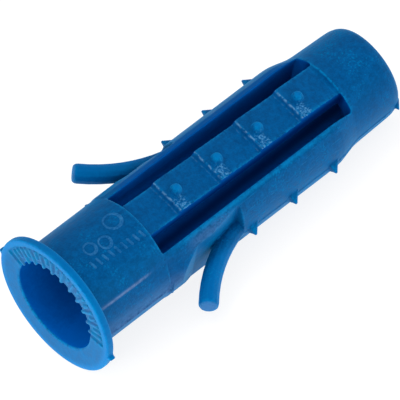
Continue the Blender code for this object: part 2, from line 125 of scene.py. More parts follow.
@dataclass
class Moulding:
    """The plug itself: one moulding whose edges are all a little soft."""

    node: str = "plug_body"
    slot: str = "blue_plastic"
    voxel: float = 0.062 * MM
    smoothing: float = 0.5
    smoothing_steps: int = 5
    most_triangles: int = 190_000
    mouth_radius: float = 3.46 * MM
    bore_radius: float = 3.05 * MM
    face_depth: float = 0.12 * MM
    slot_start: float = 6.8 * MM
    slot_end: float = 24.5 * MM
    slot_inner: float = 1.30 * MM
    slot_outer: float = 2.80 * MM
    slot_lip: float = 4.0 * MM
    tongue_floor: float = 3.2 * MM
    tongue_slack: float = 0.15 * MM
    wall_tilt: float = 0.6

    def build(self, frame: dict) -> bpy.types.Object:
        """Make the moulding from the node that it stands for.


        Returns:
            The moulding, which rides on the plug's one body.
        """
        mesh = frame["nodes"][self.node].data.copy()
        mesh.name = "plug_moulding"
        mesh.materials.clear()
        mesh.transform(LIE.matrix().inverted())
        obj = put("plug_moulding", mesh)
        self.soften(obj)
        self.thin_out(obj)
        mark_edges(obj.data)
        self.part_finishes(obj.data)
        obj.data.transform(LIE.matrix())
        obj.data.shade_smooth()
        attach(obj, "root")
        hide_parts(self.node)
        return obj

    def soften(self, obj: bpy.types.Object) -> None:
        """Round every edge as a mould does.

        Args:
            obj: The moulding with its sharp edges, on its own axes.
        """
        remesh = obj.modifiers.new("remesh", "REMESH")
        remesh.mode = "VOXEL"
        remesh.voxel_size = self.voxel
        remesh.adaptivity = 0.0
        smooth = obj.modifiers.new("soften", "SMOOTH")
        smooth.factor = self.smoothing
        smooth.iterations = self.smoothing_steps
        apply_modifiers(obj)

    def thin_out(self, obj: bpy.types.Object) -> None:
        """Keep the finest faces for the edges.

        Args:
            obj: The softened moulding.
        """
        triangles = sum(len(p.vertices) - 2 for p in obj.data.polygons)
        if triangles <= self.most_triangles:
            return
        decimate = obj.modifiers.new("thin_out", "DECIMATE")
        decimate.decimate_type = "COLLAPSE"
        decimate.ratio = self.most_triangles / triangles
        decimate.use_collapse_triangulate = True
        apply_modifiers(obj)

    def part_finishes(self, mesh: bpy.types.Mesh) -> None:
        """Give the faces in the bore and on the slots' walls their own dull finish, with painted
        light and shade.

        Args:
            mesh: The moulding's mesh, on its own axes.
        """
        mesh.materials.append(MouldedPlastic().material())
        mesh.materials.append(InsidePaintedShade().material())
        along, across, up = rows_of(mesh.polygons, "center").T
        facing_up = np.abs(rows_of(mesh.polygons, "normal")[:, 2])
        radius = np.hypot(across, up)
        side = np.abs(across)
        on_tongue = (side < self.slot_inner + self.tongue_slack) & (np.abs(up) > self.tongue_floor)
        on_tongue &= along > self.slot_start
        reach = np.where(along < self.slot_start, self.mouth_radius, self.bore_radius)
        bore = (radius < reach) & (along > self.face_depth) & ~on_tongue
        in_slot = (along > self.slot_start) & (along < self.slot_end)
        in_slot &= (side > self.slot_inner) & (side < self.slot_outer)
        walls = in_slot & (radius < self.slot_lip) & (facing_up < self.wall_tilt)
        mesh.polygons.foreach_set("material_index", (bore | walls).astype(np.int32))


def mark_edges(
    mesh: bpy.types.Mesh, blunt: float = 500.0, sharp: float = 2600.0, passes: int = 6
) -> None:
    """Store how sharply each point stands out, which is where a moulding gets rubbed and where a
    painted highlight is laid.

    Args:
        mesh: The mesh, which gets the float attribute "edge".
        blunt: Curvature per metre at which rubbing starts.
        sharp: Curvature per metre at which it is complete.
        passes: Times that the value is spread to its neighbours.
    """
    count = len(mesh.vertices)
    points = rows_of(mesh.vertices, "co")
    normals = rows_of(mesh.vertices, "normal")
    first, second = rows_of(mesh.edges, "vertices", 2, int).T
    step = points[second] - points[first]
    squares = np.maximum((step * step).sum(axis=1), 1e-14)
    bends = 2.0 * (step * normals[first]).sum(axis=1) / squares
    bends_back = -2.0 * (step * normals[second]).sum(axis=1) / squares
    near = np.bincount(first, minlength=count) + np.bincount(second, minlength=count)
    total = np.bincount(first, -bends, count) + np.bincount(second, -bends_back, count)
    curve = total / np.maximum(near, 1)
    for _ in range(passes):
        spread = np.bincount(first, curve[second], count)
        spread += np.bincount(second, curve[first], count)
        curve = 0.5 * curve + 0.5 * spread / np.maximum(near, 1)
    share = np.clip((curve - blunt) / (sharp - blunt), 0.0, 1.0)
    layer = mesh.attributes.new("edge", "FLOAT", "POINT")
    layer.data.foreach_set("value", share.astype(np.float32))


class Outline(Enum):
    """The plain shapes of the neck's raised marks."""

    RING = "ring"
    TICK = "tick"


@dataclass(frozen=True)
class RaisedMark:
    """One raised line on the neck, as a ring or a short tick, in millimetres.

    A ring's turn is its width round the neck for each millimetre along it, and a
    tick's turn is its lean in degrees.
    """

    outline: Outline
    along: float
    angle: float
    length: float
    width: float
    turn: float = 0.0

    def path(self) -> list[Triple]:
        """Points of the line, as place along, place round and share of its width."""
        middle = math.radians(self.angle) * NeckMarks.radius
        if self.outline is Outline.RING:
            half = self.length / 2
            steps = 40
            heavier_at = 0.7
            return [
                (
                    self.along + half * math.cos(a),
                    middle + half * self.turn * math.sin(a),
                    0.8 + 0.25 * math.cos(a - heavier_at),
                )
                for a in (TAU * i / steps for i in range(steps))
            ]
        lean = math.radians(self.turn)
        ends = ((-0.5, 0.25), (-0.46, 0.75), (-0.38, 1.0), (0.0, 0.9), (0.38, 1.0))
        ends += ((0.46, 0.75), (0.5, 0.25))
        return [
            (
                self.along + share * self.length * math.cos(lean),
                middle + share * self.length * math.sin(lean),
                wide,
            )
            for share, wide in ends
        ]


@dataclass
class NeckMarks:
    """Raised marks on the neck: plain rings and a row of plain ticks, with worn tops."""

    radius: float = 4.0
    raised: float = 0.04
    sunk: float = 0.05
    steps_across: int = 6
    marks: tuple[RaisedMark, ...] = (
        RaisedMark(Outline.RING, 5.56, -12.9, 1.25, 0.24, 1.0),
        RaisedMark(Outline.RING, 2.95, -3.7, 0.85, 0.22, 1.05),
        RaisedMark(Outline.RING, 4.05, 0.2, 0.85, 0.22, 1.05),
        *(
            RaisedMark(Outline.TICK, 2.30 + 0.52 * i, 11.0 + 0.55 * i, 0.60, 0.19, 78.0)
            for i in range(9)
        ),
    )

    def build(self, body: bpy.types.Object) -> bpy.types.Object:
        """Make the marks as one piece that lies on the neck.

        Args:
            body: The moulding, which the marks lie on.

        Returns:
            The piece with all marks.
        """
        mesh = bpy.data.meshes.new("neck_marks")
        bm = bmesh.new()
        skin = BVHTree.FromObject(body, bpy.context.evaluated_depsgraph_get())
        for mark in self.marks:
            self.draw(bm, skin, mark)
        bmesh.ops.recalc_face_normals(bm, faces=bm.faces)
        bm.to_mesh(mesh)
        bm.free()
        mesh.shade_smooth()
        mesh.materials.append(WORN_TOPS.material())
        edge = mesh.attributes.new("edge", "FLOAT", "POINT")
        edge.data.foreach_set("value", np.zeros(len(mesh.vertices), dtype=np.float32))
        obj = put("neck_marks", mesh)
        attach(obj, "root")
        return obj

    def draw(self, bm: bmesh.types.BMesh, skin: BVHTree, mark: RaisedMark) -> None:
        """Sweep a low dome along one mark's line.

        Args:
            bm: The mesh to add to.
            skin: The moulding's surface.
            mark: The mark to draw.
        """
        path = mark.path()
        closed = mark.outline is Outline.RING
        turns = [math.pi * j / self.steps_across for j in range(self.steps_across + 1)]
        rows = []
        for i, (along, round_it, wide) in enumerate(path):
            before = path[i - 1] if i or closed else path[i]
            after = path[(i + 1) % len(path)] if closed or i + 1 < len(path) else path[i]
            step = Vector((after[0] - before[0], after[1] - before[1])).normalized()
            side = Vector((-step.y, step.x)) * (mark.width * wide / 2)
            top = self.raised * min(1.0, wide + 0.2)
            outline = [(math.cos(a), math.sin(a) * top) for a in turns]
            outline += [(-1.0, -self.sunk), (1.0, -self.sunk)]
            rows.append(
                [
                    bm.verts.new(
                        self.on_skin(skin, along + side.x * out, round_it + side.y * out, height)
                    )
                    for out, height in outline
                ]
            )
        count = len(rows[0])
        for i in range(len(rows) if closed else len(rows) - 1):
            first, second = rows[i], rows[(i + 1) % len(rows)]
            for j in range(count):
                k = (j + 1) % count
                bm.faces.new((first[j], first[k], second[k], second[j]))
        if not closed:
            bm.faces.new(rows[0])
            bm.faces.new(rows[-1])

    def on_skin(self, skin: BVHTree, along: float, round_it: float, height: float) -> Vector:
        """Point that stands a height above the neck's surface.

        Args:
            skin: The moulding's surface.
            along: Place along the plug.
            round_it: Place round the neck, as an arc's length.
            height: Height above the surface.

        Returns:
            The point in the row frame.
        """
        angle = round_it / self.radius
        outward = Vector((0.0, -math.sin(angle), math.cos(angle)))
        start = LIE.matrix() @ ((Vector((along, 0.0, 0.0)) + outward * 1.5 * self.radius) * MM)
        turned = LIE.matrix().to_3x3() @ outward
        hit = skin.ray_cast(start, -turned)[0]
        return hit + turned * height * MM


def apply_modifiers(obj: bpy.types.Object) -> None:
    """Replace an object's mesh with what its modifiers make of it.

    Args:
        obj: The object, which keeps no modifier.
    """
    graph = bpy.context.evaluated_depsgraph_get()
    made = bpy.data.meshes.new_from_object(obj.evaluated_get(graph))
    old = obj.data
    obj.modifiers.clear()
    obj.data = made
    made.name = old.name
    bpy.data.meshes.remove(old)


class Net:
    """Short words for building a node tree."""

    def __init__(self, tree: bpy.types.NodeTree) -> None:
        """Keep the tree that the words act on."""
        self.tree = tree

    def add(self, kind: str, **settings: object) -> bpy.types.Node:
        """Add a node.

        Args:
            kind: The node's type name.
            settings: Properties of the node and their values.

        Returns:
            The new node.
        """
        node = self.tree.nodes.new(kind)
        for name, value in settings.items():
            setattr(node, name, value)
        return node

    def feed(self, socket: Socket, value: object) -> None:
        """Link a socket into another, or give it a plain value.

        Args:
            socket: The socket that takes the value.
            value: Another socket or a plain value.
        """
        if isinstance(value, Socket):
            self.tree.links.new(value, socket)
        else:
            socket.default_value = value

    def fill(self, node: bpy.types.Node, values: dict[str, object]) -> None:
        """Feed several sockets of a node by their names."""
        for name, value in values.items():
            self.feed(node.inputs[name], value)

    def maths(self, operation: str, *values: object) -> Socket:
        """Work out one value by a named operation.

        Args:
            operation: The operation's name.
            values: The sockets or numbers that it takes.

        Returns:
            The socket with the value.
        """
        node = self.add("ShaderNodeMath", operation=operation)
        for socket, value in zip(node.inputs, values):
            self.feed(socket, value)
        return node.outputs[0]

    def parts(self, place: Socket) -> tuple[Socket, ...]:
        """Split a place into its x, y and z."""
        node = self.add("ShaderNodeSeparateXYZ")
        self.feed(node.inputs[0], place)
        return tuple(node.outputs)

    def ramp(
        self, value: object, start: float, end: float, low: float = 0.0, high: float = 1.0
    ) -> Socket:
        """Soft step from a low value to a high one.

        Args:
            value: What is measured.
            start: Where the step starts.
            end: Where the step ends.
            low: Value before the start.
            high: Value past the end.

        Returns:
            The socket with the step.
        """
        node = self.add("ShaderNodeMapRange", interpolation_type="SMOOTHSTEP")
        limits = {"From Min": start, "From Max": end, "To Min": low, "To Max": high}
        self.fill(node, {"Value": value, **limits})
        return node.outputs["Result"]

    def between(self, value: object, low: float, high: float, soft: float) -> Socket:
        """One between two limits, with soft ends.

        Args:
            value: What is measured.
            low: The lower limit.
            high: The upper limit.
            soft: How far each end fades to both sides.

        Returns:
            The socket with the mask.
        """
        rise = self.ramp(value, low - soft, low + soft)
        fall = self.ramp(value, high + soft, high - soft)
        return self.both(rise, fall)

    def noise(self, place: object, per_mm: object, detail: float = 2.0) -> Socket:
        """Even noise round one half.

        Args:
            place: The place that it is read at.
            per_mm: Its size, as grains for each millimetre.
            detail: How many finer layers it has.

        Returns:
            The socket with the noise.
        """
        node = self.add("ShaderNodeTexNoise", noise_dimensions="3D")
        self.fill(node, {"Detail": detail, "Vector": place, "Scale": per_mm})
        return node.outputs["Fac"]

    def mix(self, share: object, first: object, second: object) -> Socket:
        """Colour between two colours.

        Args:
            share: Share of the second colour.
            first: The colour at no share.
            second: The colour at full share.

        Returns:
            The socket with the colour.
        """
        node = self.add("ShaderNodeMix", data_type="RGBA", clamp_factor=True)
        self.feed(node.inputs["Factor"], share)
        for name, value in (("A_Color", first), ("B_Color", second)):
            socket = next(s for s in node.inputs if s.identifier == name)
            self.feed(socket, (*value, 1.0) if isinstance(value, tuple) else value)
        return next(s for s in node.outputs if s.identifier == "Result_Color")

    def bump(self, height: object, depth: float) -> Socket:
        """Normal of a relief.

        Args:
            height: The relief's height, from none to full.
            depth: How deep full height is.

        Returns:
            The socket with the normal.
        """
        node = self.add("ShaderNodeBump")
        self.fill(node, {"Distance": depth, "Height": height})
        return node.outputs["Normal"]

    def scaled(self, value: object, gain: object, start: object) -> Socket:
        """Value times a gain, counted from a start."""
        return self.maths("MULTIPLY_ADD", value, gain, start)

    def most(self, *values: object) -> Socket:
        """Largest of several values."""
        return reduce(lambda one, other: self.maths("MAXIMUM", one, other), values)

    def both(self, *values: object) -> Socket:
        """Product of several values."""
        return reduce(lambda one, other: self.maths("MULTIPLY", one, other), values)


class Effect:
    """Shader node group that is built once and placed in a material by name."""

    name: str = ""
    sockets_in: tuple[tuple[str, str], ...] = ()
    sockets_out: tuple[tuple[str, str], ...] = ()

    def group(self) -> bpy.types.NodeTree:
        """Build the group, or find it where it has been built.

        Returns:
            The group's tree.
        """
        tree = bpy.data.node_groups.get(self.name)
        if tree is not None:
            return tree
        tree = bpy.data.node_groups.new(self.name, "ShaderNodeTree")
        for in_out, sockets in (("INPUT", self.sockets_in), ("OUTPUT", self.sockets_out)):
            for label, kind in sockets:
                tree.interface.new_socket(label, in_out=in_out, socket_type=kind)
        net = Net(tree)
        entry = net.add("NodeGroupInput")
        leave = net.add("NodeGroupOutput")
        for label, socket in self.wire(net, entry.outputs).items():
            tree.links.new(socket, leave.inputs[label])
        return tree

    def wire(self, net: Net, given: object) -> dict[str, Socket]:
        """Build what is inside the group.

        Args:
            net: The group's tree.
            given: The sockets that come in.

        Returns:
            The socket for each output's name.
        """
        raise NotImplementedError

    def place(self, net: Net, **values: object) -> object:
        """Put the group in a material.

        Args:
            net: The material's tree.
            values: A value or socket for each input, by its name in small letters.

        Returns:
            The group's outputs.
        """
        node = net.add("ShaderNodeGroup", node_tree=self.group())
        for socket in node.inputs:
            key = socket.name.lower().replace(" ", "_")
            if key in values:
                net.feed(socket, values[key])
        return node.outputs


FLOAT = "NodeSocketFloat"
VECTOR = "NodeSocketVector"


class PlugAxes(Effect):
    """Places on the plug's own axes, in millimetres, and round its axis."""

    name = "plug_axes"
    sockets_in = (("Object Place", VECTOR),)
    sockets_out = (("Place", VECTOR), ("Unrolled", VECTOR), ("Radius", FLOAT), ("Angle", FLOAT))

    def wire(self, net: Net, given: object) -> Sockets:
        """Turn the place back by the plug's lie, then unroll it.

        Args:
            net: The group's tree.
            given: The place in the row frame.

        Returns:
            The socket for each output's name.
        """
        back = LIE.matrix().inverted()
        mapping = net.add("ShaderNodeMapping", vector_type="POINT")
        turned = {"Location": back.translation / MM, "Rotation": back.to_euler()}
        values = {"Vector": given["Object Place"], **turned, "Scale": (1.0 / MM,) * 3}
        net.fill(mapping, values)
        place = mapping.outputs["Vector"]
        along, across, up = net.parts(place)
        radius = net.maths("SQRT", net.scaled(across, across, net.both(up, up)))
        turn = net.maths("ARCTAN2", net.both(across, -1.0), up)
        unrolled = net.add("ShaderNodeCombineXYZ")
        net.fill(unrolled, {"X": along, "Y": net.both(turn, radius), "Z": radius})
        return {
            "Place": place,
            "Unrolled": unrolled.outputs[0],
            "Radius": radius,
            "Angle": net.maths("DEGREES", turn),
        }


class MouldedGrain(Effect):
    """Leathery skin that the mould leaves, with slow and fine unevenness."""

    name = "moulded_grain"
    sockets_in = (("Place", VECTOR), ("Coarse Per Mm", FLOAT), ("Fine Per Mm", FLOAT))
    sockets_out = (("Height", FLOAT), ("Tone", FLOAT), ("Patch", FLOAT))
    patch_per_mm = 0.55
    fine_share = 0.45
    tone_limits: Pair = (0.38, 0.82)
    patch_limits: Pair = (0.42, 0.62)

    def wire(self, net: Net, given: object) -> Sockets:
        """Mix two sizes of noise for the height and for the tone.

        Args:
            net: The group's tree.
            given: The place and the two sizes.

        Returns:
            The socket for each output's name.
        """
        coarse = net.noise(given["Place"], given["Coarse Per Mm"], 3.0)
        fine = net.noise(given["Place"], given["Fine Per Mm"])
        patch = net.noise(given["Place"], self.patch_per_mm)
        coarse = net.both(coarse, 1.0 - self.fine_share)
        height = net.scaled(fine, self.fine_share, coarse)
        tone = net.ramp(net.scaled(patch, 0.2, height), *self.tone_limits)
        return {"Height": height, "Tone": tone, "Patch": net.ramp(patch, *self.patch_limits)}


class ScuffedSpecks(Effect):
    """Fine pale specks where a surface has been rubbed."""

    name = "scuffed_specks"
    sockets_in = (("Place", VECTOR), ("Per Mm", FLOAT), ("Area", FLOAT))
    sockets_out = (("Mask", FLOAT),)
    gain = 0.20
    grain_limits: Pair = (0.58, 0.86)
    area_limits: Pair = (0.0, 0.3)

    def wire(self, net: Net, given: object) -> Sockets:
        """Let more of a fine noise through where the area is stronger.

        Args:
            net: The group's tree.
            given: The place, the specks' size and the rubbed area.

        Returns:
            The socket for each output's name.
        """
        grain = net.noise(given["Place"], given["Per Mm"])
        gate = net.scaled(given["Area"], self.gain, grain)
        inside = net.ramp(given["Area"], *self.area_limits)
        return {"Mask": net.both(net.ramp(gate, *self.grain_limits), inside)}


class Hairlines(Effect):
    """Short fine scratches along one direction."""

    name = "hairlines"
    sockets_in = (("Place", VECTOR), ("Stretch", VECTOR), ("Turn", VECTOR), ("Area", FLOAT))
    sockets_out = (("Mask", FLOAT),)
    gain = 0.14
    crest_limits: Pair = (0.70, 0.80)
    area_limits: Pair = (0.0, 0.2)

    def wire(self, net: Net, given: object) -> Sockets:
        """Stretch a noise and keep its crests.

        Args:
            net: The group's tree.
            given: The place, the noise's stretch and turn, and the scratched area.

        Returns:
            The socket for each output's name.
        """
        mapping = net.add("ShaderNodeMapping", vector_type="POINT")
        sockets = {"Vector": "Place", "Scale": "Stretch", "Rotation": "Turn"}
        net.fill(mapping, {name: given[label] for name, label in sockets.items()})
        lines = net.noise(mapping.outputs["Vector"], 1.0, 1.5)
        gate = net.scaled(given["Area"], self.gain, lines)
        inside = net.ramp(given["Area"], *self.area_limits)
        return {"Mask": net.both(net.ramp(gate, *self.crest_limits), inside)}


@dataclass(frozen=True)
class ToothLayout:
    """Where the teeth of the two tongues stand, in millimetres on the plug's own axes.

    The line on a crest, the line at its foot and the rubbed patch each say where they
    start and end past the crest, and how softly.
    """

    first_crest: float = 9.77
    pitch: float = 3.72
    count: int = 4
    half_width: float = 1.42
    lowest: float = 3.15
    knob_setback: float = 0.755
    knob_reach: Pair = (0.48, 0.08)
    ring_start: float = 24.35
    crest_line: Triple = (-0.02, 0.02, 0.07)
    foot_line: Triple = (-0.26, -0.22, 0.06)
    patch: Triple = (0.05, 0.9, 0.2)
    patch_side: Pair = (0.0, -0.7)
    wander: float = 0.13
    wander_per_mm: float = 1.3
    break_per_mm: float = 4.2
    break_limits: Pair = (0.40, 0.62)


TEETH = ToothLayout()


class ToothMasks(Effect):
    """Pale rubbed line on each tooth's crest, the rubbed patch beside its knob, and the area round
    each knob that gets painted glow.
    """

    name = "tooth_wear"
    sockets_in = (("Place", VECTOR),)
    sockets_out = (("Crest", FLOAT), ("Foot", FLOAT), ("Patch", FLOAT), ("Knob", FLOAT))

    def wire(self, net: Net, given: object) -> Sockets:
        """Count the distance from the nearest crest and keep to the tongue's top.

        Args:
            net: The group's tree.
            given: The place.

        Returns:
            The socket for each output's name.
        """
        place = given["Place"]
        along, across, up = net.parts(place)
        wander = net.maths("SUBTRACT", net.noise(place, TEETH.wander_per_mm), 0.5)
        along = net.scaled(wander, TEETH.wander, along)
        start = TEETH.first_crest - TEETH.pitch / 2
        shifted = net.maths("SUBTRACT", along, start)
        wrapped = net.maths("FLOORED_MODULO", shifted, TEETH.pitch)
        past = net.maths("SUBTRACT", wrapped, TEETH.pitch / 2)
        last = TEETH.first_crest + TEETH.pitch * (TEETH.count - 0.5)
        row = net.between(along, start, last, 0.05)
        side = net.maths("ABSOLUTE", across)
        top = net.ramp(net.maths("ABSOLUTE", up), TEETH.lowest, TEETH.lowest + 0.2)
        tongue = net.both(row, top, net.ramp(side, TEETH.half_width + 0.1, TEETH.half_width))
        grain = net.noise(place, TEETH.break_per_mm, 3.0)
        broken = net.ramp(grain, *TEETH.break_limits)
        low_side = net.ramp(across, *TEETH.patch_side)
        off_knob = net.maths("SUBTRACT", past, TEETH.knob_setback)
        squares = net.both(off_knob, off_knob)
        squares = net.scaled(across, across, squares)
        near_knob = net.ramp(net.maths("SQRT", squares), *TEETH.knob_reach)
        return {
            "Crest": net.both(tongue, net.between(past, *TEETH.crest_line), broken),
            "Foot": net.both(tongue, net.between(past, *TEETH.foot_line), broken),
            "Patch": net.both(tongue, low_side, net.between(past, *TEETH.patch)),
            "Knob": net.both(tongue, near_knob),
        }


@dataclass(frozen=True)
class PaintedBand:
    """One pale band of painted light, with its start, end and softness along the plug and round
    it.
    """

    length: Triple
    width: Triple
    strength: float

    def mask(self, net: Net, along: object, angle: object) -> Socket:
        """Build the streak's mask.

        Args:
            net: The material's tree.
            along: Place along the plug.
            angle: Angle round its axis.

        Returns:
            The socket with the mask.
        """
        length = net.between(along, *self.length)
        return net.both(length, net.between(angle, *self.width), self.strength)


@dataclass(frozen=True)
class Zones:
    """Where the wear and the painted light and shade begin and end, in millimetres and degrees on
    the plug's own axes.
    """

    outside: Pair = (3.3, 3.5)
    body: Pair = (4.6, 4.3)
    neck: Triple = (1.0, 6.8, 0.3)
    shell: Triple = (8.0, 24.0, 0.5)
    low_shell: Triple = (44.0, 100.0, 6.0)
    lip_shade_angles: tuple[Triple, ...] = ((-51.0, -36.0, 6.0), (129.0, 144.0, 6.0))
    nose: Pair = (24.6, 25.6)
    crescent_depth: Pair = (0.40, 0.30)
    crescent_radii: Triple = (3.1, 4.75, 0.05)
    crescent_angles: Triple = (-78.0, 82.0, 2.0)
    rim_depth: Pair = (1.3, 1.0)
    rim_radii: Pair = (4.5, 5.0)
    whisker_start: Pair = (1.4, 1.8)
    whisker_radii: Pair = (4.05, 4.7)
    whisker_end: Pair = (-1.45, -1.2)


ZONES = Zones()


@dataclass(frozen=True)
class ColourLayer:
    """One layer laid over the plastic's colour, for wear and for painted light and shade alike:
    its mask, its share at full mask and its colour.
    """

    mask: str
    share: float
    colour: Colour


# pale colour of rubbed wear, also used for painted highlights
RUBBED_AND_HIGHLIGHT: Colour = (0.0, 0.180, 0.450)
SCUFFED: Colour = (0.18, 0.38, 0.62)


@dataclass(frozen=True)
class Finish:
    """What the finishes of the plastic share: a name and the grain's sizes."""

    name: str
    coarse_per_mm: float
    fine_per_mm: float

    def start(self) -> tuple[bpy.types.Material, Net, object, object]:
        """Begin the material with the plug's axes and the grain.

        Returns:
            The material, its net, and the outputs of the axes and of the grain.
        """
        material = bpy.data.materials.new(self.name)
        material.use_nodes = True
        net = Net(material.node_tree)
        object_place = net.add("ShaderNodeTexCoord").outputs["Object"]
        axes = PlugAxes().place(net, object_place=object_place)
        sizes = {"coarse_per_mm": self.coarse_per_mm, "fine_per_mm": self.fine_per_mm}
        return material, net, axes, MouldedGrain().place(net, place=axes["Place"], **sizes)


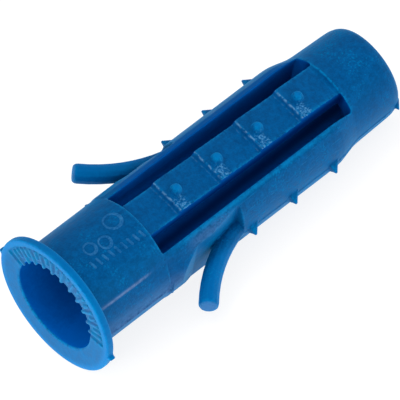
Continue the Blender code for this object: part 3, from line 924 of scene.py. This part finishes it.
@dataclass(frozen=True)
class MouldedPlastic(Finish):
    """Solid blue polypropylene, semi-gloss from the mould, rubbed and scuffed in use, with painted
    glow, highlights, sheen and shade.
    """

    name: str = "blue_moulded_plastic"
    coarse_per_mm: float = 2.6
    fine_per_mm: float = 7.5
    deep_colour: Colour = (0.0, 0.031, 0.150)
    pale_colour: Colour = (0.0, 0.065, 0.245)
    # painted glow: the rim, the whiskers and the knobs are made lighter, as if light shone through
    # the thin plastic
    thin_colour: Colour = (0.0, 0.115, 0.390)
    thin_share: float = 0.8
    rib_colour: Colour = (0.0, 0.085, 0.240)
    dusty_colour: Colour = (0.018, 0.052, 0.185)
    crescent_share: float = 0.8
    layers: tuple[ColourLayer, ...] = (
        # rubbed wear and painted highlight: sharp convex edges are made paler
        ColourLayer("edge", 0.4, RUBBED_AND_HIGHLIGHT),
        # painted shade: the shell's lips beside the slots are made darker and deeper blue, as if
        # shaded by the slot
        ColourLayer("slot_lip", 0.75, (0.0, 0.031, 0.235)),
        # painted highlights: pale lines on the edges at the neck's end, at the nose's ring and
        # along the shells' slot edges
        ColourLayer("lines", 1.0, RUBBED_AND_HIGHLIGHT),
        ColourLayer("hairs", 0.16, RUBBED_AND_HIGHLIGHT),
        ColourLayer("specks", 0.6, RUBBED_AND_HIGHLIGHT),
        ColourLayer("patch", 0.30, SCUFFED),
        # painted sheen: a pale lilac reflection laid on streaks of the neck and shell and on the
        # whiskers' end faces
        ColourLayer("painted_sheen", 0.45, (0.30, 0.36, 0.56)),
        ColourLayer("crest", 0.9, SCUFFED),
        # painted shade: darker in the recesses, by ambient occlusion
        ColourLayer("shade", 0.8, (0.0, 0.006, 0.060)),
    )
    roughness: float = 0.54
    uneven_gloss: float = 0.12
    worn_gloss: float = 0.3
    shine: float = 0.32
    gloss_tint: Colour = (0.0, 0.9, 1.0)
    bloom: float = 0.6
    bloom_roughness: float = 0.5
    bloom_tint: Colour = (0.0, 0.45, 1.0)
    speck_per_mm: float = 7.0
    grain_depth: float = 0.022 * MM
    shade_reach: float = 1.6 * MM
    # painted highlight on the neck panel's edge, painted reflection along the neck's underside and
    # on the shell by the whisker's recess
    painted_sheen: tuple[PaintedBand, ...] = (
        PaintedBand((1.2, 5.2, 0.6), (50.5, 53.5, 1.2), 0.8),
        PaintedBand((1.0, 8.4, 0.6), (80.0, 112.0, 12.0), 0.38),
        PaintedBand((9.2, 12.6, 0.8), (49.0, 60.0, 4.0), 0.2),
    )
    # painted highlight lines along edges
    highlight_lines: tuple[PaintedBand, ...] = (
        PaintedBand((6.84, 6.90, 0.04), (-24.0, 22.0, 8.0), 0.5),
        PaintedBand((24.34, 24.40, 0.06), (-24.0, 24.0, 3.0), 0.6),
        PaintedBand((24.02, 24.06, 0.06), (-22.0, 20.0, 3.0), 0.3),
        PaintedBand((8.4, 22.5, 1.0), (44.8, 48.0, 1.6), 0.5),
        PaintedBand((8.4, 22.5, 1.0), (-135.2, -133.0, 1.6), 0.45),
    )

    def material(self) -> bpy.types.Material:
        """Build the plastic's material.

        Returns:
            The material.
        """
        material, net, axes, grain = self.start()
        shader = material.node_tree.nodes["Principled BSDF"]
        teeth = ToothMasks().place(net, place=axes["Place"])
        masks = self.masks(net, axes, grain, teeth)
        sockets = {
            "Specular IOR Level": self.shine,
            "Specular Tint": (*self.gloss_tint, 1.0),
            "Sheen Weight": self.bloom,
            "Sheen Roughness": self.bloom_roughness,
            "Sheen Tint": (*self.bloom_tint, 1.0),
            "Base Color": self.colour(net, grain, masks),
            "Roughness": self.gloss(net, grain, masks),
            "Normal": self.relief(net, grain, masks),
        }
        net.fill(shader, sockets)
        return material

    def masks(self, net: Net, axes: object, grain: object, teeth: object) -> Sockets:
        """Where the plastic is rubbed, scuffed and scratched, and where painted glow, highlights,
        sheen and shade are laid.

        Args:
            net: The material's tree.
            axes: Outputs of the plug's axes.
            grain: Outputs of the grain.
            teeth: Outputs of the tooth wear.

        Returns:
            A mask for each kind of wear and of painted light and shade.
        """
        edge = net.add("ShaderNodeAttribute", attribute_name="edge").outputs["Fac"]
        break_up = net.ramp(grain["Height"], 0.36, 0.58)
        frayed = net.scaled(break_up, 0.6, 0.4)
        # painted shade in the recesses: ambient occlusion darkens the colour
        shade = net.add("ShaderNodeAmbientOcclusion", samples=8, only_local=True)
        shade.inputs["Distance"].default_value = self.shade_reach
        along, across, _ = net.parts(axes["Place"])
        radius, angle = axes["Radius"], axes["Angle"]
        outside = net.ramp(radius, *ZONES.outside)
        shell = net.both(net.between(along, *ZONES.shell), outside)
        low_shell = net.both(shell, net.between(angle, *ZONES.low_shell))
        nose = net.both(net.ramp(along, *ZONES.nose), grain["Patch"], outside)
        neck = net.both(net.between(along, *ZONES.neck), grain["Patch"], outside)
        rubbed = net.most(
            net.both(teeth["Patch"], 0.9),
            net.both(nose, 0.5),
            net.both(low_shell, grain["Patch"], 0.5),
            net.both(neck, 0.4),
        )
        specks = ScuffedSpecks().place(
            net, place=axes["Place"], per_mm=self.speck_per_mm, area=rubbed
        )
        hairs = Hairlines().place(
            net,
            place=axes["Unrolled"],
            stretch=(0.9, 7.0, 1.0),
            turn=(0.0, 0.0, 0.12),
            area=net.both(low_shell, net.ramp(grain["Patch"], 1.0, 0.0), 0.8),
        )
        crescent = net.both(
            net.ramp(along, *ZONES.crescent_depth),
            net.between(radius, *ZONES.crescent_radii),
            net.between(angle, *ZONES.crescent_angles),
        )
        rim = net.both(net.ramp(along, *ZONES.rim_depth), net.ramp(radius, *ZONES.rim_radii))
        whisker = net.both(
            net.ramp(along, *ZONES.whisker_start), net.ramp(radius, *ZONES.whisker_radii)
        )
        reach = net.maths("SUBTRACT", net.maths("ABSOLUTE", across), along)
        painted_sheen = [streak.mask(net, along, angle) for streak in self.painted_sheen]
        lines = [line.mask(net, along, angle) for line in self.highlight_lines]
        lips = [net.between(angle, *lip) for lip in ZONES.lip_shade_angles]
        return {
            # painted glow on the rim, the whiskers and the knobs
            "thin": net.most(
                net.both(rim, 0.9), net.both(whisker, 0.75), net.both(teeth["Knob"], 0.9)
            ),
            "crescent": crescent,
            "mottle": net.ramp(net.noise(axes["Place"], 1.9, 3.0), 0.42, 0.58),
            # sharp edges, for rubbed wear and painted highlight
            "edge": net.both(edge, break_up),
            # painted shade along the shell's lips beside the slots
            "slot_lip": net.both(shell, net.most(*lips)),
            # painted highlight lines, broken up by the grain
            "lines": net.both(net.most(*lines), outside, frayed),
            "hairs": hairs["Mask"],
            "specks": specks["Mask"],
            "patch": net.both(specks["Mask"], teeth["Patch"]),
            # painted sheen on the streaks and on the whiskers' end faces
            "painted_sheen": net.most(
                net.both(net.most(*painted_sheen), outside, frayed, net.ramp(radius, *ZONES.body)),
                net.both(whisker, net.ramp(reach, *ZONES.whisker_end), 0.28),
            ),
            "crest": net.most(teeth["Crest"], net.both(teeth["Foot"], 0.2)),
            "shade": net.ramp(shade.outputs["AO"], 0.75, 0.10),
        }

    def colour(self, net: Net, grain: object, masks: Sockets) -> Socket:
        """Lay the wear and the painted light and shade over the two tones of the plastic.

        Args:
            net: The material's tree.
            grain: Outputs of the grain.
            masks: What masks() returned.

        Returns:
            The colour's socket.
        """
        colour = net.mix(grain["Tone"], self.deep_colour, self.pale_colour)
        colour = net.mix(net.both(masks["thin"], self.thin_share), colour, self.thin_colour)
        mottled = net.mix(masks["mottle"], self.rib_colour, self.dusty_colour)
        colour = net.mix(net.both(masks["crescent"], self.crescent_share), colour, mottled)
        for layer in self.layers:
            colour = net.mix(net.both(masks[layer.mask], layer.share), colour, layer.colour)
        return colour

    def gloss(self, net: Net, grain: object, masks: Sockets) -> Socket:
        """Roughness that rises where the skin is rubbed or shaded.

        Args:
            net: The material's tree.
            grain: Outputs of the grain.
            masks: What masks() returned.

        Returns:
            The roughness's socket.
        """
        low = self.roughness - self.uneven_gloss / 2
        uneven = net.scaled(grain["Tone"], self.uneven_gloss, low)
        worn = net.most(masks["specks"], masks["crest"], masks["painted_sheen"], masks["shade"])
        return net.scaled(worn, self.worn_gloss, uneven)

    def relief(self, net: Net, grain: object, masks: Sockets) -> Socket:
        """Small relief of the grain, the specks and the hairlines.

        Args:
            net: The material's tree.
            grain: Outputs of the grain.
            masks: What masks() returned.

        Returns:
            The normal's socket.
        """
        raised = net.scaled(masks["specks"], 0.35, grain["Height"])
        height = net.scaled(masks["hairs"], -0.35, raised)
        return net.bump(height, self.grain_depth)


WORN_TOPS = MouldedPlastic(
    name="blue_plastic_worn_tops",
    deep_colour=(0.0, 0.050, 0.210),
    pale_colour=(0.025, 0.125, 0.320),
)


@dataclass(frozen=True)
class InsidePaintedShade(Finish):
    """The same plastic in the bore and on the slots' walls: dull, with painted light at the lips
    and painted shade deeper down the slots.

    The ramps are in millimetres on the plug's own axes: along it, to its sides (side),
    from its middle plane (height), and outward from the bore's wall. A share's pair
    says how much it grows and what it starts from.
    """

    name: str = "blue_cored_plastic"
    coarse_per_mm: float = 1.6
    fine_per_mm: float = 6.0
    painted_lit_colour: Colour = (0.0, 0.094, 0.415)
    painted_shade_colour: Colour = (0.0, 0.013, 0.095)
    roughness: float = 0.65
    grain_depth: float = 0.01 * MM
    mouth_end: Pair = (8.0, 5.0)
    mouth_depth: Pair = (0.3, 3.0)
    mouth_side: Pair = (1.6, -2.6)
    slot_start: Pair = (6.8, 8.0)
    bore_radius: float = 3.237
    bore_taper: float = -0.0344
    off_bore: Pair = (0.0, 0.25)
    tongue_side: Pair = (2.0, 1.6)
    tongue_height: Pair = (2.4, 4.2)
    shell_side: Pair = (1.6, 2.0)
    shell_height: Pair = (-2.8, 3.0)
    far_shell: Pair = (1.2, 2.2)
    floor_side: Pair = (1.36, 1.0)
    floor_height: Pair = (1.8, 2.3)
    floor_rise: Pair = (0.05, 0.65)
    inner_edge: Pair = (1.9, 1.5)
    outer_share: Pair = (0.35, 0.85)
    inner_share: Pair = (0.5, -0.3)
    end_wall_share: Pair = (-0.65, 1.0)
    floor_share: Pair = (0.75, 0.18)
    floor_middle: float = 0.2
    far_shell_share: float = 0.65
    inner_edge_share: float = 0.45

    def material(self) -> bpy.types.Material:
        """Build the material of the bore and of the slots' walls.

        Returns:
            The material.
        """
        material, net, axes, grain = self.start()
        shader = material.node_tree.nodes["Principled BSDF"]
        lit = net.most(self.mouth(net, axes), self.slots(net, axes))
        uneven = net.scaled(grain["Tone"], 0.25, 0.8)
        # painted light and shade: pale where light would reach into the slots and the bore, dark
        # deeper down
        colour = net.mix(net.both(lit, uneven), self.painted_shade_colour, self.painted_lit_colour)
        sockets = {
            "Base Color": colour,
            "Specular IOR Level": 0.0,
            "Roughness": net.scaled(grain["Tone"], 0.1, self.roughness),
            "Normal": net.bump(grain["Height"], self.grain_depth),
        }
        net.fill(shader, sockets)
        return material

    def mouth(self, net: Net, axes: object) -> Socket:
        """Share of painted light in the bore's mouth, with painted shade deepening inward and to
        one side.

        Args:
            net: The material's tree.
            axes: Outputs of the plug's axes.

        Returns:
            The socket with the share.
        """
        along, across, _ = net.parts(axes["Place"])
        near_side = net.ramp(across, *self.mouth_side)
        depth = net.ramp(along, *self.mouth_depth)
        outer = net.scaled(near_side, *self.outer_share)
        inner = net.scaled(near_side, *self.inner_share)
        share = net.maths("ADD", outer, net.both(depth, inner))
        return net.both(net.ramp(along, *self.mouth_end), share)

    def slots(self, net: Net, axes: object) -> Socket:
        """Share of painted light on the slots' walls, on the bore's floor below them and on its
        edges; painted shade elsewhere.

        Args:
            net: The material's tree.
            axes: Outputs of the plug's axes.

        Returns:
            The socket with the share.
        """
        along, across, up = net.parts(axes["Place"])
        side, height = net.maths("ABSOLUTE", across), net.maths("ABSOLUTE", up)
        tongue_wall = net.both(
            net.ramp(side, *self.tongue_side), net.ramp(height, *self.tongue_height)
        )
        shell_wall = net.both(
            net.ramp(side, *self.shell_side), net.ramp(height, *self.shell_height)
        )
        bore = net.scaled(along, self.bore_taper, self.bore_radius)
        off_bore = net.ramp(net.maths("SUBTRACT", axes["Radius"], bore), *self.off_bore)
        end_wall = net.ramp(along, TEETH.ring_start - 0.2, TEETH.ring_start)
        unlit = net.scaled(end_wall, *self.end_wall_share)
        walls = net.both(net.most(tongue_wall, shell_wall), off_bore, unlit)
        in_slots = net.ramp(along, *self.slot_start)
        far_shell = net.both(net.ramp(across, *self.far_shell), in_slots, self.far_shell_share)
        turned = net.both(across, net.maths("SIGN", up))
        off_middle = net.maths("SUBTRACT", turned, self.floor_middle)
        rise = net.ramp(net.maths("ABSOLUTE", off_middle), *self.floor_rise)
        floor = net.both(
            net.scaled(rise, *self.floor_share),
            net.ramp(side, *self.floor_side),
            in_slots,
            net.ramp(height, *self.floor_height),
        )
        edge = net.add("ShaderNodeAttribute", attribute_name="edge").outputs["Fac"]
        # painted highlight on the slots' inner edges
        inner = net.both(edge, net.ramp(side, *self.inner_edge), self.inner_edge_share)
        return net.most(walls, far_shell, floor, inner)


@dataclass(frozen=True)
class SoftLamp:
    """Flat soft lamp, which the camera doesn't see."""

    name: str
    place: Triple
    size: Pair
    watts: float
    aim: Triple = (0.0, 0.0, 0.005)
    tint: Colour = (1.0, 1.0, 1.0)

    def build(self) -> bpy.types.Object:
        """Hang the lamp where it belongs, turned to what it lights.

        Returns:
            The lamp.
        """
        light = bpy.data.lights.new(self.name, "AREA")
        light.shape = "RECTANGLE"
        light.size, light.size_y = self.size
        light.energy = self.watts
        light.color = self.tint
        lamp = put(self.name, light)
        lamp.location = self.place
        toward = Vector(self.aim) - lamp.location
        lamp.rotation_euler = toward.to_track_quat("-Z", "Y").to_euler()
        lamp.visible_camera = False
        return lamp


@dataclass
class Studio:
    """White floor, soft lamps and the camera."""

    floor_half: float = 0.6
    floor_white: float = 0.24
    floor_glow: float = 0.5
    floor_seen_glow: float = 0.33
    room_light: float = 0.95
    dim_side: Triple = (0.35, 0.92, 0.15)
    dim_from_to: Pair = (0.25, 0.8)
    dim_share: float = 0.2
    mirrored_light: float = 0.35
    aim: Triple = (-0.9901 * MM, 0.2517 * MM, 3.8012 * MM)
    right: Triple = (0.70715, -0.64589, -0.28769)
    back: Triple = (-0.37736, -0.68884, 0.61895)
    distance: float = 515.46 * MM
    lens: float = 696.71
    lamps_round_it: tuple[SoftLamp, ...] = (
        SoftLamp(
            name="lamp_before_collar",
            place=(-36.0 * MM, 1.0 * MM, 4.5 * MM),
            size=(18.0 * MM, 8.5 * MM),
            watts=0.0055,
            aim=(-14.3 * MM, 0.0, 5.2 * MM),
            tint=(1.0, 1.0, 0.92),
        ),
        SoftLamp(name="lamp_near_side", place=(-0.06, -0.45, 0.08), size=(0.30, 0.15), watts=0.38),
        SoftLamp(name="lamp_above", place=(-0.05, 0.12, 0.45), size=(0.20, 0.20), watts=0.55),
        SoftLamp(
            name="lamp_low_near",
            place=(2.0 * MM, -48.0 * MM, 5.0 * MM),
            size=(50.0 * MM, 8.0 * MM),
            watts=0.004,
            aim=(0.0, -2.0 * MM, 4.0 * MM),
        ),
        SoftLamp(
            name="lamp_under_near",
            place=(0.0, -17.0 * MM, 0.1 * MM),
            size=(40.0 * MM, 34.0 * MM),
            watts=0.0005,
            aim=(0.0, -17.0 * MM, 1.0),
        ),
    )

    def build(self) -> None:
        """Set up the floor, the lamps and the camera."""
        self.floor()
        self.lamps()
        self.camera()

    def floor(self) -> None:
        """White floor that keeps the plug's shadow."""
        half = self.floor_half
        mesh = bpy.data.meshes.new("studio_floor")
        bm = bmesh.new()
        corners = [(-half, -half, 0), (half, -half, 0), (half, half, 0), (-half, half, 0)]
        bm.faces.new([bm.verts.new(corner) for corner in corners])
        bm.to_mesh(mesh)
        bm.free()
        obj = put("studio_floor", mesh)
        material = bpy.data.materials.new("studio_floor")
        material.use_nodes = True
        material.node_tree.nodes.clear()
        net = Net(material.node_tree)
        diffuse = net.add("ShaderNodeBsdfDiffuse")
        diffuse.inputs["Color"].default_value = (*[self.floor_white] * 3, 1.0)
        path = net.add("ShaderNodeLightPath").outputs
        seen = net.most(path["Is Camera Ray"], path["Is Glossy Ray"], path["Is Transmission Ray"])
        glow = net.add("ShaderNodeEmission")
        strength = net.scaled(seen, self.floor_seen_glow, self.floor_glow)
        net.feed(glow.inputs["Strength"], strength)
        add = net.add("ShaderNodeAddShader")
        net.feed(add.inputs[0], diffuse.outputs[0])
        net.feed(add.inputs[1], glow.outputs[0])
        output = net.add("ShaderNodeOutputMaterial")
        net.feed(output.inputs["Surface"], add.outputs[0])
        mesh.materials.append(material)

    def lamps(self) -> None:
        """Soft lamps and the room's own light, which is dimmer behind the plug."""
        world = bpy.data.worlds.new("studio_room")
        bpy.context.scene.world = world
        world.use_nodes = True
        net = Net(world.node_tree)
        background = world.node_tree.nodes["Background"]
        background.inputs["Color"].default_value = (1.0, 1.0, 1.0, 1.0)
        toward = net.add("ShaderNodeVectorMath", operation="DOT_PRODUCT")
        net.feed(toward.inputs[0], net.add("ShaderNodeTexCoord").outputs["Generated"])
        toward.inputs[1].default_value = Vector(self.dim_side).normalized()
        room = net.ramp(
            toward.outputs["Value"],
            *self.dim_from_to,
            self.room_light,
            self.room_light * self.dim_share,
        )
        mirrored = net.add("ShaderNodeLightPath").outputs["Is Glossy Ray"]
        strength = net.most(room, net.both(mirrored, self.mirrored_light))
        net.feed(background.inputs["Strength"], strength)
        for lamp in self.lamps_round_it:
            lamp.build()

    def camera(self) -> None:
        """Camera at the photograph's viewing angle."""
        back = Vector(self.back).normalized()
        right = Vector(self.right)
        right = (right - back * right.dot(back)).normalized()
        up = back.cross(right)
        turn = Matrix((right, up, back)).transposed().to_4x4()
        data = bpy.data.cameras.new("studio_camera")
        data.lens = self.lens
        data.sensor_width = 36.0
        data.clip_start = 0.01
        data.clip_end = 10.0
        camera = put("studio_camera", data)
        camera.matrix_world = Matrix.Translation(Vector(self.aim) + back * self.distance) @ turn
        bpy.context.scene.camera = camera


def main() -> None:
    """Build the plug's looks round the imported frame."""
    logging.basicConfig(level=logging.INFO, format="%(message)s")
    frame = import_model()
    moulding = Moulding().build(frame)
    LOG.info("%s: %d triangles", moulding.name, len(moulding.data.polygons))
    marks = NeckMarks().build(moulding)
    LOG.info("%s: %d faces", marks.name, len(marks.data.polygons))
    Studio().build()
    bpy.context.scene.view_settings.view_transform = "Standard"
    bpy.context.view_layer.update()


if __name__ == "__main__":
    main()
